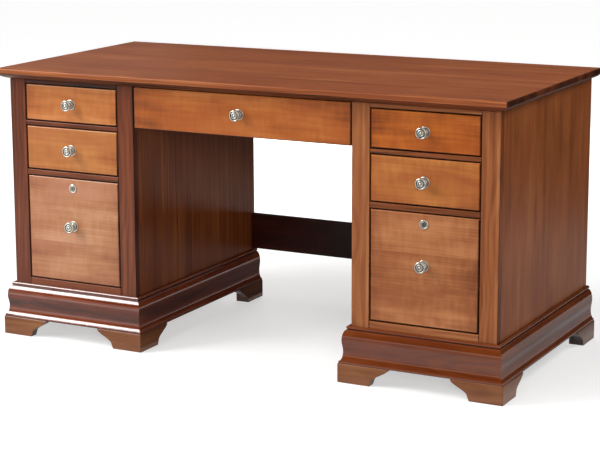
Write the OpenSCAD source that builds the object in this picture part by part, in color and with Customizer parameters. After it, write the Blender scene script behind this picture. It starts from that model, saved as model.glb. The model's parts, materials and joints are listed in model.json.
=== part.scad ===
// Double pedestal desk: two three-drawer pedestals on moulded bases with bracket feet,
// a wide centre drawer over the kneehole and one moulded top.
// The origin is on the floor under the middle of the top. The drawers open towards -Y.

/* [Overall] */
// Height from the floor to the upper face of the top
desk_h = 770; // [750:1:800]
// Width of each pedestal's case
case_w = 406.4; // [390:0.1:440]
// Depth of each pedestal's case
case_d = 687; // [665:1:720]
// Clear width of the kneehole between the two cases
kneehole_w = 660.4; // [600:0.1:720]

/* [Top] */
// Thickness of the top
top_t = 29; // [26:0.5:35]
// Overhang of the top past the cases at each side
top_side_overhang = 25.4; // [15:0.1:40]
// Overhang of the top past the cases at the front
top_front_overhang = 33; // [20:0.5:45]
// Overhang of the top past the cases at the back
top_rear_overhang = 10; // [0:0.5:30]
// Radius of the top's upper edge
top_edge_r = 4; // [1:0.5:6]
// Height from the upper face to the start of the bevel under the edge
top_lip_h = 14; // [8:0.5:18]
// How far the bevel under the edge runs in
top_bevel_run = 26; // [15:0.5:35]
// How far the bevel bulges past a straight line, at its control point
top_bevel_bulge = 5; // [0:0.5:7]

/* [Case] */
// Thickness of the side panels
side_t = 19; // [16:0.5:22]
// Thickness of the back panels
back_t = 12; // [6:0.5:15]
// Width of the rabbets that hold the back panel
rabbet_w = 9.5; // [5:0.5:12]
// Thickness of the bottom panels
bottom_t = 12; // [9:0.5:16]
// Depth of the dadoes that hold the bottom panel
dado_d = 6; // [3:0.5:8]
// How far the bottom panel's upper face lies below the bottom rail's upper edge
bottom_drop = 8; // [4:0.5:12]
// Thickness of the face frame
frame_t = 20; // [18:0.5:24]
// Width of the stiles
stile_w = 50.8; // [45:0.1:58]
// Height of the rail above the upper drawer
top_rail_h = 12; // [10:0.5:18]
// Height of the rail between the upper and the middle drawer
upper_rail_h = 12; // [10:0.5:18]
// Height of the rail between the middle and the file drawer
lower_rail_h = 15; // [10:0.5:18]
// Height of the bottom rail that shows above the base moulding
rail_reveal = 18; // [12:0.5:25]
// Width of the frame rails under the top, front to back
top_frame_w = 60; // [40:1:80]
// Thickness of the frame rails under the top
top_frame_t = 18; // [15:0.5:20]
// Height of the wooden spacers behind the slides
spacer_h = 50; // [46:1:60]
// Thickness of a glue line, and of the play between pieces that are screwed to each other
glue = 0.1; // [0.05:0.05:0.2]

/* [Kneehole] */
// Height of the stretcher's lower edge above the floor
stretcher_z = 154; // [100:1:200]
// Height of the stretcher board
stretcher_h = 108; // [80:1:130]
// Thickness of the stretcher and of the rear rail
stretcher_t = 19; // [16:0.5:22]
// Height of the rear rail under the top
rear_rail_h = 90; // [60:1:110]

/* [Drawers] */
// Gap around each drawer front
gap = 3; // [2:0.1:4]
// Thickness of the drawer fronts
front_t = 20; // [18:0.5:22]
// Width of the eased edge of the drawer fronts
front_ease = 2; // [0.5:0.1:3]
// Height of the upper drawer's front
upper_front_h = 100; // [90:0.5:110]
// Height of the middle drawer's front
middle_front_h = 121; // [110:0.5:132]
// Height of the centre drawer's front
center_front_h = 113; // [100:0.5:120]
// Thickness of the drawer boxes' sides and ends
box_t = 12; // [11:0.5:14]
// Depth of the drawer boxes, front to back
box_d = 560; // [520:1:580]
// How far the boxes' lower edge lies above the fronts' lower edge
box_lift = 12; // [9:0.5:16]
// How far the boxes' upper edge lies below the fronts' upper edge
box_drop = 13; // [10:0.5:20]
// Clearance between the lock's barrel and the file box, which ends below it
barrel_clearance = 8; // [5:0.5:12]
// Thickness of the drawer bottoms
tray_t = 6; // [4:0.5:9]
// Height of the groove for the drawer bottom above the box's lower edge
groove_lift = 9; // [6:0.5:12]
// Depth of the groove for the drawer bottom
groove_d = 6; // [4:0.5:8]
// Play of the drawer bottom in its groove, at each edge
groove_play = 0.5; // [0.2:0.1:1]
// Height of drawer side that each dovetail takes with the gap beside it
dovetail_pitch = 36; // [28:1:45]
// Share of that height that is the dovetail's wide end
dovetail_share = 0.6; // [0.5:0.05:0.7]
// Slope of the dovetails' cheeks
dovetail_slope = 0.14; // [0.1:0.01:0.18]

/* [Slides] */
// Space that a slide takes between the case and the box
slide_t = 12.7; // [12.5:0.1:14]
// Length of the slides
slide_l = 550; // [500:1:560]
// Setback of the slides' front ends from the drawer front's inner face
slide_setback = 3; // [1:0.5:6]
// Height of the cabinet member
slide_h = 45; // [42:0.5:48]
// Steel thickness of the slides
slide_wall = 1.4; // [1.2:0.1:1.6]
// Running clearance between the slides' members
slide_play = 0.3; // [0.2:0.05:0.4]
// Length of the lips that hold the members together
slide_lip = 2.5; // [2:0.1:3]
// Clearance between the cabinet member's lips and the drawer member's web
lip_gap = 1.1; // [0.8:0.1:1.5]

/* [Knobs] */
// Projection of a knob from the drawer front
knob_l = 29; // [25:0.5:30]
// Radius of a knob's backplate
plate_r = 15; // [12:0.25:17]
// Thickness of the backplate
plate_t = 2.5; // [2:0.25:4]
// Radius of the boss on the backplate
boss_r = 9; // [8:0.25:10]
// Height of the boss
boss_h = 4; // [3:0.25:5]
// How far the boss's wall leans in
boss_lean = 1; // [0:0.25:2]
// Radius of the stem at its waist
stem_r = 5; // [4.5:0.25:6]
// How far the stem widens towards both ends
stem_flare = 2; // [1:0.25:2]
// Radius of a knob's head
knob_r = 15.5; // [14:0.25:18]
// Height of the head from its underside to the middle of its face
head_h = 11; // [9:0.5:12]
// How far the head's widest ring lies below the middle of its face
rim_drop = 5; // [4:0.5:6]
// Radius of the button in the middle of the face
button_r = 7.75; // [6:0.25:8.5]
// Height of the button above the rim
button_h = 1.5; // [1:0.25:2.5]
// Width of the groove between the button and the rim
groove_w = 4.5; // [3:0.25:5]
// Depth of that groove, whose walls lean at 45 degrees
face_groove_d = 1.2; // [0.6:0.1:1.4]
// Radius of the screw that holds a knob
screw_r = 2; // [1.5:0.1:2.5]
// Play of the screw in its bore through the front and the box
screw_play = 0.2; // [0.1:0.05:0.5]
// Depth of the screw in the knob
screw_in = 12; // [8:0.5:15]
// Radius of the screw's head
screw_head_r = 4; // [3.5:0.25:5]
// Thickness of the screw's head
screw_head_t = 2.5; // [2:0.25:4]
// Height of the file drawers' knobs above the middle of their fronts
file_knob_rise = 12.5; // [0:0.5:20]
// Height of the centre drawer's knob above the middle of its front
center_knob_rise = 3; // [0:0.5:6]

/* [Locks] */
// Height of the lock's axis below the drawer front's upper edge
lock_drop = 27; // [24:0.5:32]
// Radius of the lock's trim ring
trim_r = 12.5; // [11.5:0.25:14]
// Thickness of the trim ring, and the radius of its outer edge
trim_t = 2; // [1.5:0.25:2]
// Radius of the lock's barrel
barrel_r = 9.5; // [8:0.25:10]
// Radius of the lock's plug
plug_r = 6; // [5:0.25:7]
// Play of the plug in the barrel
plug_play = 0.05; // [0.05:0.05:0.15]
// How far the plug stands out past the trim ring
plug_proud = 0.5; // [0.25:0.25:1]
// Width of the key slot
slot_w = 1.8; // [1.5:0.1:2.2]
// Length of the key slot
slot_l = 8; // [7:0.5:9]
// Depth of the key slot
slot_d = 5; // [3:0.5:8]
// Length of the lock's cam from its axis
cam_l = 36; // [34:0.5:38]
// Width of the cam
cam_w = 13; // [10:0.5:14]
// Thickness of the cam
cam_t = 2; // [1.5:0.25:2.5]
// Clearance between the cam and the drawer front
cam_play = 0.7; // [0.5:0.1:1]
// Radius of the screw that holds the cam
cam_screw_r = 4.5; // [3.5:0.25:5]
// Thickness of that screw's head
cam_screw_t = 2.5; // [2:0.25:3.5]

/* [Base] */
// Height of the bracket feet
foot_h = 51.5; // [45:0.5:60]
// How far the feet stand out from the case
foot_proud = 27.5; // [26:0.5:32]
// Thickness of the feet's wings
wing_t = 25; // [20:0.5:28]
// Width of a wing at the top of its scroll
wing_reach = 144.5; // [120:0.5:160]
// Width of a wing where its scroll ends
wing_waist = 97; // [85:0.5:105]
// Width of a wing on the floor
wing_pad = 92; // [80:0.5:96]
// Height above the floor at which the scroll ends
scroll_z = 13; // [8:0.5:18]
// Width of the eased upper edge of the feet
foot_ease = 1.5; // [0.5:0.25:3]
// Thickness of the block behind each foot's side wing
block_t = 17.5; // [15:0.5:20]
// Height of the base moulding
moulding_h = 99; // [85:0.5:110]
// Projection of the moulding's lowest fillet
fillet_out = 25.4; // [22:0.2:27]
// Height of the lowest fillet
fillet_h = 5; // [3:0.5:8]
// Projection of the moulding's waist
waist_out = 16; // [13:0.2:17]
// Height of the waist above the moulding's lower edge
waist_z = 30.5; // [26:0.5:36]
// Projection of the moulding's belly
belly_out = 19.2; // [17:0.2:21]
// Height of the belly above the moulding's lower edge
belly_z = 60.5; // [55:0.5:66]
// Projection of the quirk under the bead
quirk_out = 8; // [7:0.1:9]
// Height of the quirk
quirk_h = 1; // [0.5:0.25:2]
// Projection of the bead at the top of the moulding
bead_out = 10; // [9:0.1:11.5]
// Radius of the bead
bead_r = 4.5; // [3.5:0.25:6]
// Angle through which the bead turns in below its middle
bead_turn = 50; // [40:1:60]

/* [Hidden] */
$fn = 48;
SIDES = [["left", -1], ["right", 1]];
PEDESTAL_DRAWERS = ["upper", "middle", "file"];
DRAWERS = concat([for (s = SIDES) for (d = PEDESTAL_DRAWERS) str(s[0], "_", d)], ["center"]);
CASE_PIECES = ["outer_side", "inner_side", "back_panel", "bottom_panel", "face_frame", "base_moulding"];
FILE_PIECES = ["file_slide_middles", "lock_barrel", "lock_plug"];
DRAWER_PIECES = ["drawer_front", "drawer_box", "drawer_bottom", "drawer_knob", "drawer_slides"];

// Margin by which a cutting shape passes the faces it cuts
cut = 1;

// Straight stretches that draw each curve of an outline
curve_steps = 8;

// Places of the top and the cases
top_under = desk_h - top_t;
top_w = 2 * case_w + kneehole_w + 2 * top_side_overhang;
top_d = case_d + top_front_overhang + top_rear_overhang;
front_y = -top_d / 2 + top_front_overhang;
back_y = front_y + case_d;
frame_back = front_y + frame_t;
back_front = back_y - back_t;
case_x = (kneehole_w + case_w) / 2;
case_h = top_under - foot_h;
opening_w = case_w - 2 * stile_w;
inner_half = case_w / 2 - side_t;
moulding_top = foot_h + moulding_h;

// Lower edges of the drawer fronts, and the file front's height, which is what is left
upper_front_z = top_under - top_rail_h - gap - upper_front_h;
middle_front_z = upper_front_z - 2 * gap - upper_rail_h - middle_front_h;
file_front_z = moulding_top + rail_reveal + gap;
file_front_h = middle_front_z - 2 * gap - lower_rail_h - file_front_z;
center_front_z = top_under - gap - center_front_h;

file_box_drop = lock_drop + barrel_r + barrel_clearance;
lock_z = file_front_z + file_front_h - lock_drop;

// What a drawer's name gives: its middle in X, its opening's width, its front's lower edge and height, its
// knob's height, its box's lower edge, height and width, and the middle of its slides
function drawer_x(name) = name == "center" ? 0 : name[0] == "l" ? -case_x : case_x;
function drawer_opening(name) = name == "center" ? kneehole_w : opening_w;
function is_upper(name) = name == "left_upper" || name == "right_upper";
function is_file(name) = name == "left_file" || name == "right_file";
function drawer_z(name) =
    name == "center" ? center_front_z : is_upper(name) ? upper_front_z
    : is_file(name) ? file_front_z : middle_front_z;
function drawer_h(name) =
    name == "center" ? center_front_h : is_upper(name) ? upper_front_h
    : is_file(name) ? file_front_h : middle_front_h;
function knob_z(name) =
    drawer_z(name) + drawer_h(name) / 2
    + (name == "center" ? center_knob_rise : is_file(name) ? file_knob_rise : 0);
function box_z(name) = drawer_z(name) + box_lift;
function box_h(name) = drawer_h(name) - box_lift - (is_file(name) ? file_box_drop : box_drop);
function box_w(name) = drawer_opening(name) - 2 * slide_t;
function slide_z(name) = box_z(name) + box_h(name) / 2;

slide_y = frame_back + slide_setback;

// Points of an arc about c from angle a to angle b
function arc(c, r, a, b) = [
    for (i = [0:curve_steps]) let (t = a + (b - a) * i / curve_steps) c + r * [cos(t), sin(t)]
];

// Points of a curve from p to q that is drawn towards c
function bow(p, c, q) = [
    for (i = [0:curve_steps]) let (t = i / curve_steps)
        (1 - t) * (1 - t) * p + 2 * t * (1 - t) * c + t * t * q
];

// The same points seen in a mirror at x = 0, in the order that closes an outline
function mirrored(points) = [for (i = [len(points) - 1:-1:0]) [-points[i][0], points[i][1]]];

// A board given by its lowest and highest corners
module board(low, high) {
    translate(low) cube(high - low);
}

// Draws the right pedestal's piece on the given side
module at_case(side) {
    translate([side * case_x, 0, 0]) mirror([side < 0 ? 1 : 0, 0, 0]) children();
}

// The top's edge as run in and depth below the upper face
bevel_slope = [top_bevel_run, top_lip_h - top_t];
bevel_normal = [bevel_slope[1], -bevel_slope[0]] / norm(bevel_slope);
moulded_edge = concat(
    arc([top_edge_r, -top_edge_r], top_edge_r, 90, 180),
    bow([0, -top_lip_h],
        [top_bevel_run / 2, -(top_lip_h + top_t) / 2] + top_bevel_bulge * bevel_normal,
        [top_bevel_run, -top_t])
);
plain_edge = concat(arc([top_edge_r, -top_edge_r], top_edge_r, 90, 180), [[0, -top_t]]);

function edge_at(edge, at) = [for (p = edge) [at - p[0], desk_h + p[1]]];

module desk_top() {
    side_edge = edge_at(moulded_edge, top_w / 2);
    front_edge = mirrored(edge_at(moulded_edge, top_d / 2));
    color("sienna") intersection() {
        translate([0, top_d / 2, 0]) rotate([90, 0, 0]) linear_extrude(top_d)
            polygon(concat(side_edge, mirrored(side_edge)));
        translate([-top_w / 2, 0, 0]) rotate([90, 0, 90]) linear_extrude(top_w)
            polygon(concat(edge_at(plain_edge, top_d / 2), front_edge));
    }
}

module kneehole_rear_rail() {
    color("saddlebrown")
        board([-kneehole_w / 2, back_y - stretcher_t, top_under - rear_rail_h],
              [kneehole_w / 2, back_y, top_under]);
}

module kneehole_stretcher() {
    color([0.12, 0.06, 0.05])
        board([-kneehole_w / 2, back_y - stretcher_t, stretcher_z],
              [kneehole_w / 2, back_y, stretcher_z + stretcher_h]);
}

// Upper face of the bottom panel
floor_z = moulding_top + rail_reveal - bottom_drop;

module side_panel() {
    difference() {
        board([inner_half, frame_back, foot_h], [case_w / 2, back_y, top_under]);
        board([inner_half - cut, back_front, foot_h - cut],
              [inner_half + rabbet_w, back_y + cut, top_under + cut]);
        board([inner_half - cut, frame_back - cut, floor_z - bottom_t],
              [inner_half + dado_d, back_y, floor_z]);
    }
}

module outer_side(side) {
    color("peru") at_case(side) side_panel();
}

module inner_side(side) {
    color("peru") at_case(side) mirror([1, 0, 0]) side_panel();
}

module back_panel(side) {
    half = inner_half + rabbet_w;
    color("tan") at_case(side) board([-half, back_front, foot_h], [half, back_y, top_under]);
}

module bottom_panel(side) {
    half = inner_half + dado_d;
    color("tan") at_case(side) board([-half, frame_back, floor_z - bottom_t], [half, back_front, floor_z]);
}

// A rail of the face frame, between its stiles
module rail(low_z, high_z) {
    half = opening_w / 2 - glue;
    board([-half, front_y, low_z], [half, frame_back, high_z]);
}

module face_frame(side) {
    color("saddlebrown") at_case(side) {
        board([-case_w / 2, front_y, foot_h], [-opening_w / 2, frame_back, top_under]);
        board([opening_w / 2, front_y, foot_h], [case_w / 2, frame_back, top_under]);
        rail(top_under - top_rail_h, top_under);
        rail(upper_front_z - gap - upper_rail_h, upper_front_z - gap);
        rail(middle_front_z - gap - lower_rail_h, middle_front_z - gap);
        rail(foot_h, moulding_top + rail_reveal);
    }
}

module top_frame_rails() {
    color("tan") for (s = SIDES) at_case(s[1]) {
        board([-inner_half, frame_back, top_under - top_frame_t],
              [inner_half, frame_back + top_frame_w, top_under]);
        board([-inner_half, back_front - top_frame_w, top_under - top_frame_t],
              [inner_half, back_front, top_under]);
    }
}

module slide_spacers() {
    color("tan") for (s = SIDES) for (d = PEDESTAL_DRAWERS) at_case(s[1]) for (m = [0, 1]) mirror([m, 0, 0]) {
        middle = slide_z(str(s[0], "_", d));
        board([opening_w / 2, frame_back, middle - spacer_h / 2],
              [inner_half, back_front, middle + spacer_h / 2]);
    }
}

// The slides' sections. X runs from the case to the box, Y is up, and the lower half mirrors the upper.
race_top = slide_h / 2 - slide_wall - slide_play;
lip_foot = slide_h / 2 - slide_wall - slide_lip;
cabinet_out = slide_t - slide_wall - lip_gap;
race_out = cabinet_out - slide_wall - slide_play;
middle_in = slide_wall + 2 * slide_play;
middle_lip_top = lip_foot - slide_play;
middle_lip_foot = middle_lip_top - slide_lip;

module both_halves() {
    children();
    mirror([0, 1]) children();
}

module cabinet_section() {
    both_halves() {
        square([slide_wall, slide_h / 2]);
        translate([0, slide_h / 2 - slide_wall]) square([cabinet_out, slide_wall]);
        translate([cabinet_out - slide_wall, lip_foot]) square([slide_wall, slide_lip + slide_wall]);
    }
}

module middle_section() {
    both_halves() {
        translate([middle_in, 0]) square([slide_wall, race_top]);
        translate([middle_in, middle_lip_top]) square([race_out - middle_in, race_top - middle_lip_top]);
        translate([race_out - slide_wall, middle_lip_foot]) square([slide_wall, race_top - middle_lip_foot]);
    }
}

// The drawer member's section: its ball race reaches up to race_z, between race_a and race_b, and its flange
// runs out to the box at neck_z
module drawer_section(race_a, race_b, race_z, neck_z) {
    both_halves() {
        translate([slide_t - slide_wall, 0]) square([slide_wall, neck_z]);
        translate([race_a, neck_z - slide_wall]) square([slide_t - race_a, slide_wall]);
        translate([race_a, neck_z - slide_wall]) square([race_b - race_a, race_z - neck_z + slide_wall]);
    }
}

// Draws a slide's section along the travel at both sides of a drawer's opening, the web on the case's face
module slide_pair(name) {
    for (m = [0, 1]) translate([drawer_x(name), 0, slide_z(name)]) mirror([m, 0, 0])
        translate([-drawer_opening(name) / 2, slide_y + slide_l, 0]) rotate([90, 0, 0])
            linear_extrude(slide_l) children();
}

module slide_cabinet_members() {
    color("silver") for (d = DRAWERS) slide_pair(d) cabinet_section();
}

module file_slide_middles(side) {
    color("silver") slide_pair(str(side, "_file")) middle_section();
}

module drawer_slides(name) {
    inner_race = middle_in + slide_wall + slide_play;
    color("silver") slide_pair(name)
        if (is_file(name))
            drawer_section(inner_race, race_out - slide_wall - slide_play,
                           middle_lip_top - slide_play, middle_lip_foot - slide_play);
        else
            drawer_section(middle_in, race_out, race_top, lip_foot - slide_play);
}

module knob_bore(name) {
    translate([drawer_x(name), front_y - cut, knob_z(name)]) rotate([-90, 0, 0])
        cylinder(r = screw_r + screw_play, h = front_t + box_t + 2 * cut);
}

module drawer_front(name) {
    w = drawer_opening(name) - 2 * gap;
    h = drawer_h(name);
    color("chocolate") difference() {
        translate([drawer_x(name), front_y, drawer_z(name)]) intersection() {
            linear_extrude(h) polygon([
                [-w / 2 + front_ease, 0], [w / 2 - front_ease, 0], [w / 2, front_ease],
                [w / 2, front_t], [-w / 2, front_t], [-w / 2, front_ease]
            ]);
            translate([-w / 2, 0, 0]) rotate([90, 0, 90]) linear_extrude(w) polygon([
                [0, front_ease], [front_ease, 0], [front_t, 0],
                [front_t, h], [front_ease, h], [0, h - front_ease]
            ]);
        }
        knob_bore(name);
        if (is_file(name))
            translate([drawer_x(name), front_y - cut, lock_z]) rotate([-90, 0, 0])
                cylinder(r = barrel_r + glue, h = front_t + 2 * cut);
    }
}

// Outlines of one end's dovetails, as run from the end and height, grown by the given play
module dovetails(h, play) {
    count = max(2, round(h / dovetail_pitch));
    pitch = h / count;
    root = box_t + glue;
    flare = root * dovetail_slope;
    beside = pitch * (1 - dovetail_share) / 2;
    for (i = [0:count - 1]) {
        low = i * pitch + beside - play;
        high = (i + 1) * pitch - beside + play;
        polygon([[0, low], [root, low + flare], [root, high - flare], [0, high]]);
    }
}

// The space that a drawer's bottom takes, grown past its edges by the given amount
module tray(name, grow) {
    half = box_w(name) / 2 - box_t + grow;
    y = front_y + front_t + box_t - grow;
    translate([drawer_x(name), 0, box_z(name) + groove_lift])
        board([-half, y, 0], [half, y + box_d - 2 * box_t + 2 * grow, tray_t]);
}

// Both ends' dovetails, grown by the given play and standing across the box's full width
module tails(name, play) {
    w = box_w(name);
    translate([drawer_x(name) - w / 2, front_y + front_t, box_z(name)]) rotate([90, 0, 90])
        linear_extrude(w) {
            dovetails(box_h(name), play);
            translate([box_d, 0]) mirror([1, 0]) dovetails(box_h(name), play);
        }
}

module drawer_box(name) {
    w = box_w(name);
    h = box_h(name);
    x = drawer_x(name);
    y = front_y + front_t;
    z = box_z(name);
    root = box_t + glue;
    color("burlywood") {
        for (m = [0, 1]) difference() {
            intersection() {
                translate([x, 0, 0]) mirror([m, 0, 0])
                    board([w / 2 - box_t, y, z], [w / 2, y + box_d, z + h]);
                union() {
                    tails(name, 0);
                    board([x - w / 2, y + root, z], [x + w / 2, y + box_d - root, z + h]);
                }
            }
            tray(name, groove_d);
        }
        for (end = [y, y + box_d - box_t]) difference() {
            board([x - w / 2, end, z], [x + w / 2, end + box_t, z + h]);
            intersection() {
                tails(name, glue);
                translate([x, 0, 0]) for (m = [0, 1]) mirror([m, 0, 0])
                    board([w / 2 - root, end - cut, z], [w / 2 + cut, end + box_t + cut, z + h]);
            }
            tray(name, groove_d);
            knob_bore(name);
        }
    }
}

module drawer_bottom(name) {
    color("wheat") tray(name, groove_d - groove_play);
}

// Half section of a knob: X is the radius and Y the height above the drawer front
module knob_section() {
    plate_edge = plate_t / 2;
    boss_top = plate_t + boss_h;
    head = knob_l - head_h;
    rim = knob_l - rim_drop;
    face = knob_l - button_h;
    stem_end = stem_r + stem_flare;
    groove_out = button_r + groove_w;
    polygon(concat(
        [[screw_r + glue, 0]],
        arc([plate_r - plate_edge, plate_edge], plate_edge, -90, 90),
        [[boss_r + boss_lean, plate_t], [boss_r, boss_top]],
        bow([stem_end, boss_top], [stem_r - stem_flare, (boss_top + head) / 2], [stem_end, head]),
        bow([stem_end, head], [knob_r, head], [knob_r, rim]),
        bow([knob_r, rim], [knob_r, face], [groove_out, face]),
        [[groove_out - face_groove_d, face - face_groove_d],
         [button_r + face_groove_d, face - face_groove_d]],
        bow([button_r, face], [button_r / 2, knob_l], [0, knob_l]),
        [[0, screw_in + glue], [screw_r + glue, screw_in + glue]]
    ));
}

module drawer_knob(name) {
    through = front_t + box_t;
    color("silver") translate([drawer_x(name), front_y, knob_z(name)]) rotate([90, 0, 0]) {
        rotate_extrude() knob_section();
        translate([0, 0, -through]) cylinder(r = screw_r, h = through + screw_in);
        translate([0, 0, -through - screw_head_t]) cylinder(r = screw_head_r, h = screw_head_t);
    }
}

module lock_barrel(side) {
    bore_r = plug_r + plug_play;
    color("silver") translate([drawer_x(side), front_y, lock_z]) rotate([90, 0, 0]) rotate_extrude() {
        translate([bore_r, -front_t]) square([barrel_r - bore_r, front_t + trim_t]);
        translate([bore_r, 0]) square([trim_r - trim_t - bore_r, trim_t]);
        intersection() {
            translate([trim_r - trim_t, 0]) circle(r = trim_t);
            translate([trim_r - 2 * trim_t, 0]) square(2 * trim_t);
        }
    }
}

module lock_plug(side) {
    face_z = trim_t + plug_proud;
    cam_z = -front_t - cam_play - cam_t;
    plug_z = cam_z + cam_t + glue;
    color("gainsboro") translate([drawer_x(side), front_y, lock_z]) rotate([90, 0, 0]) {
        difference() {
            translate([0, 0, plug_z]) cylinder(r = plug_r, h = face_z - plug_z);
            translate([-slot_w / 2, -slot_l / 2, face_z - slot_d]) cube([slot_w, slot_l, slot_d + cut]);
        }
        translate([0, 0, cam_z]) linear_extrude(cam_t) {
            circle(r = cam_w / 2);
            translate([0, -cam_w / 2]) square([cam_l - cam_w / 2, cam_w]);
            translate([cam_l - cam_w / 2, 0]) circle(r = cam_w / 2);
        }
        translate([0, 0, cam_z - glue - cam_screw_t]) cylinder(r = cam_screw_r, h = cam_screw_t);
    }
}

// Section of the base moulding as projection and height above its lower edge: a bead, a quirk, a long
// ogee with belly and waist, and a flare down to a fillet
quirk_z = moulding_h - 2 * bead_r;
moulding_outline = concat(
    [[0, moulding_h]],
    arc([bead_out - bead_r, moulding_h - bead_r], bead_r, 90, -bead_turn),
    [[quirk_out, quirk_z]],
    [for (i = [0:curve_steps]) let (a = 90 * i / curve_steps)
        [quirk_out + (belly_out - quirk_out) * sin(a), belly_z + (quirk_z - quirk_h - belly_z) * cos(a)]],
    [for (i = [1:curve_steps]) let (a = 180 * i / curve_steps)
        [(belly_out + waist_out) / 2 + (belly_out - waist_out) / 2 * cos(a),
         belly_z + (waist_z - belly_z) * i / curve_steps]],
    [for (i = [1:curve_steps]) let (a = 90 * i / curve_steps)
        [fillet_out - (fillet_out - waist_out) * cos(a), waist_z + (fillet_h - waist_z) * sin(a)]],
    [[fillet_out, 0], [0, 0]]
);

module moulding_run(l) {
    rotate([90, 0, 0]) linear_extrude(l) polygon(moulding_outline);
}

module base_moulding(side) {
    half = case_w / 2;
    over = 2 * fillet_out;
    color("sienna") at_case(side) translate([0, front_y, foot_h]) {
        intersection() {
            translate([half + over, 0, 0]) rotate([0, 0, -90]) moulding_run(2 * (half + over));
            linear_extrude(moulding_h)
                polygon([[-half, 0], [half, 0], [half + over, -over], [-half - over, -over]]);
        }
        for (m = [0, 1]) mirror([m, 0, 0]) intersection() {
            translate([half, case_d, 0]) moulding_run(case_d + over);
            linear_extrude(moulding_h)
                polygon([[half, glue], [half + over, glue - over], [half + over, case_d], [half, case_d]]);
        }
    }
}

// Outline of a foot's wing as distance from the foot's outer corner and height above the floor
scroll_steps = 12;
wing_outline = concat(
    [[0, 0], [wing_pad, 0], [wing_waist, scroll_z]],
    [for (i = [1:scroll_steps]) let (a = 180 * i / scroll_steps)
        [(wing_waist + wing_reach) / 2 - (wing_reach - wing_waist) / 2 * cos(a),
         scroll_z + (foot_h - scroll_z) * i / scroll_steps]],
    [[0, foot_h]]
);

// One wing: its outer face is at y = 0 and its end or corner at x = 0
module wing(mitred) {
    end = mitred ? glue / 2 : 0;
    intersection() {
        translate([0, wing_t, 0]) rotate([90, 0, 0]) linear_extrude(wing_t) polygon(wing_outline);
        linear_extrude(foot_h)
            polygon([[end, 0], [wing_reach, 0], [wing_reach, wing_t], [mitred ? wing_t + end : 0, wing_t]]);
        rotate([90, 0, 90]) linear_extrude(wing_reach) polygon([
            [0, 0], [wing_t, 0], [wing_t, foot_h], [foot_ease, foot_h], [0, foot_h - foot_ease]
        ]);
    }
}

module front_foot() {
    wing(true);
    mirror([1, -1, 0]) wing(true);
    inside = wing_t + glue;
    translate([inside, inside, 0]) cube([block_t, wing_pad - inside, foot_h]);
}

module rear_foot() {
    mirror([1, -1, 0]) wing(false);
    translate([wing_t + glue, 0, 0]) cube([block_t, wing_pad, foot_h]);
}

module bracket_feet() {
    corner = case_w / 2 + foot_proud;
    color("sienna") for (s = SIDES) at_case(s[1]) for (m = [0, 1]) mirror([m, 0, 0]) {
        translate([-corner, front_y - foot_proud, 0]) front_foot();
        translate([-corner, back_y, 0]) mirror([0, 1, 0]) rear_foot();
    }
}

desk_top();
kneehole_rear_rail();
kneehole_stretcher();
top_frame_rails();
slide_spacers();
slide_cabinet_members();
bracket_feet();
for (s = SIDES) {
    outer_side(s[1]);
    inner_side(s[1]);
    back_panel(s[1]);
    bottom_panel(s[1]);
    face_frame(s[1]);
    base_moulding(s[1]);
    file_slide_middles(s[0]);
    lock_barrel(s[0]);
    lock_plug(s[0]);
}
for (d = DRAWERS) {
    drawer_front(d);
    drawer_box(d);
    drawer_bottom(d);
    drawer_knob(d);
    drawer_slides(d);
}
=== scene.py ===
import json
import math
import random

import bmesh
import bpy
from mathutils import Matrix, Vector


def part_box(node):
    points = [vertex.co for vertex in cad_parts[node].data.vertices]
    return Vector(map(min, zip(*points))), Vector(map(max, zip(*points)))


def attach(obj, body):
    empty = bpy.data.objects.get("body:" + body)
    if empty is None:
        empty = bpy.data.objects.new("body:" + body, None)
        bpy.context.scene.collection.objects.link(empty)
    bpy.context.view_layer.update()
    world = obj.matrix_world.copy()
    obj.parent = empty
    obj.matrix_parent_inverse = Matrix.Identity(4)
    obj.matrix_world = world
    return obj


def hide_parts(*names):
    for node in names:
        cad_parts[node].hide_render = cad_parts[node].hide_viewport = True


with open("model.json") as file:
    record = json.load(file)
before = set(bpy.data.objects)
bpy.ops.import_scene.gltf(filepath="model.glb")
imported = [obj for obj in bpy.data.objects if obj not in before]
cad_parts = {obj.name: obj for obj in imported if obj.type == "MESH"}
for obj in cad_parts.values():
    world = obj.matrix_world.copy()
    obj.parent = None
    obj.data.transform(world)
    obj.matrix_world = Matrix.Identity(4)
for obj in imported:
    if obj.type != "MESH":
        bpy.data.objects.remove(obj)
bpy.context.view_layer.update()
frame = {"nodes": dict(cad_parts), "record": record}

MM = 0.001
SIDES = ["left", "right"]
DRAWERS = [f"{side}_{drawer}" for side in SIDES for drawer in ("upper", "middle", "file")] + ["center"]
BODY_OF = {
    node: body for body, nodes in frame["record"]["behaviour"]["bodies"].items() for node in nodes
}


# Objects and nodes

# Nodes that reckon with numbers and with vectors, and one that mixes: its inputs 6 and 7 are the two
# colours, where a share of 1 gives the second, and its output 2 is their mix
MATHS = "ShaderNodeMath"
VECTORS = "ShaderNodeVectorMath"
MIX = "ShaderNodeMix"


def stand(name, data):
    """A new object of the scene."""
    obj = bpy.data.objects.new(name, data)
    bpy.context.scene.collection.objects.link(obj)
    return obj


def linear(shade):
    """An sRGB hex colour as the linear colour that a shader takes, by the standard's own curve."""
    parts = [int(shade[i : i + 2], 16) / 255 for i in (1, 3, 5)]
    return [c / 12.92 if c <= 0.04045 else ((c + 0.055) / 1.055) ** 2.4 for c in parts] + [1]


def add(tree, kind, inputs=None, **settings):
    """Adds a node with its settings, and fills its inputs with values or from other nodes' outputs."""
    made = tree.nodes.new(kind)
    for name, value in settings.items():
        setattr(made, name, value)
    for socket, value in (inputs or {}).items():
        if isinstance(value, bpy.types.NodeSocket):
            tree.links.new(value, made.inputs[socket])
        else:
            made.inputs[socket].default_value = value
    return made


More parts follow.
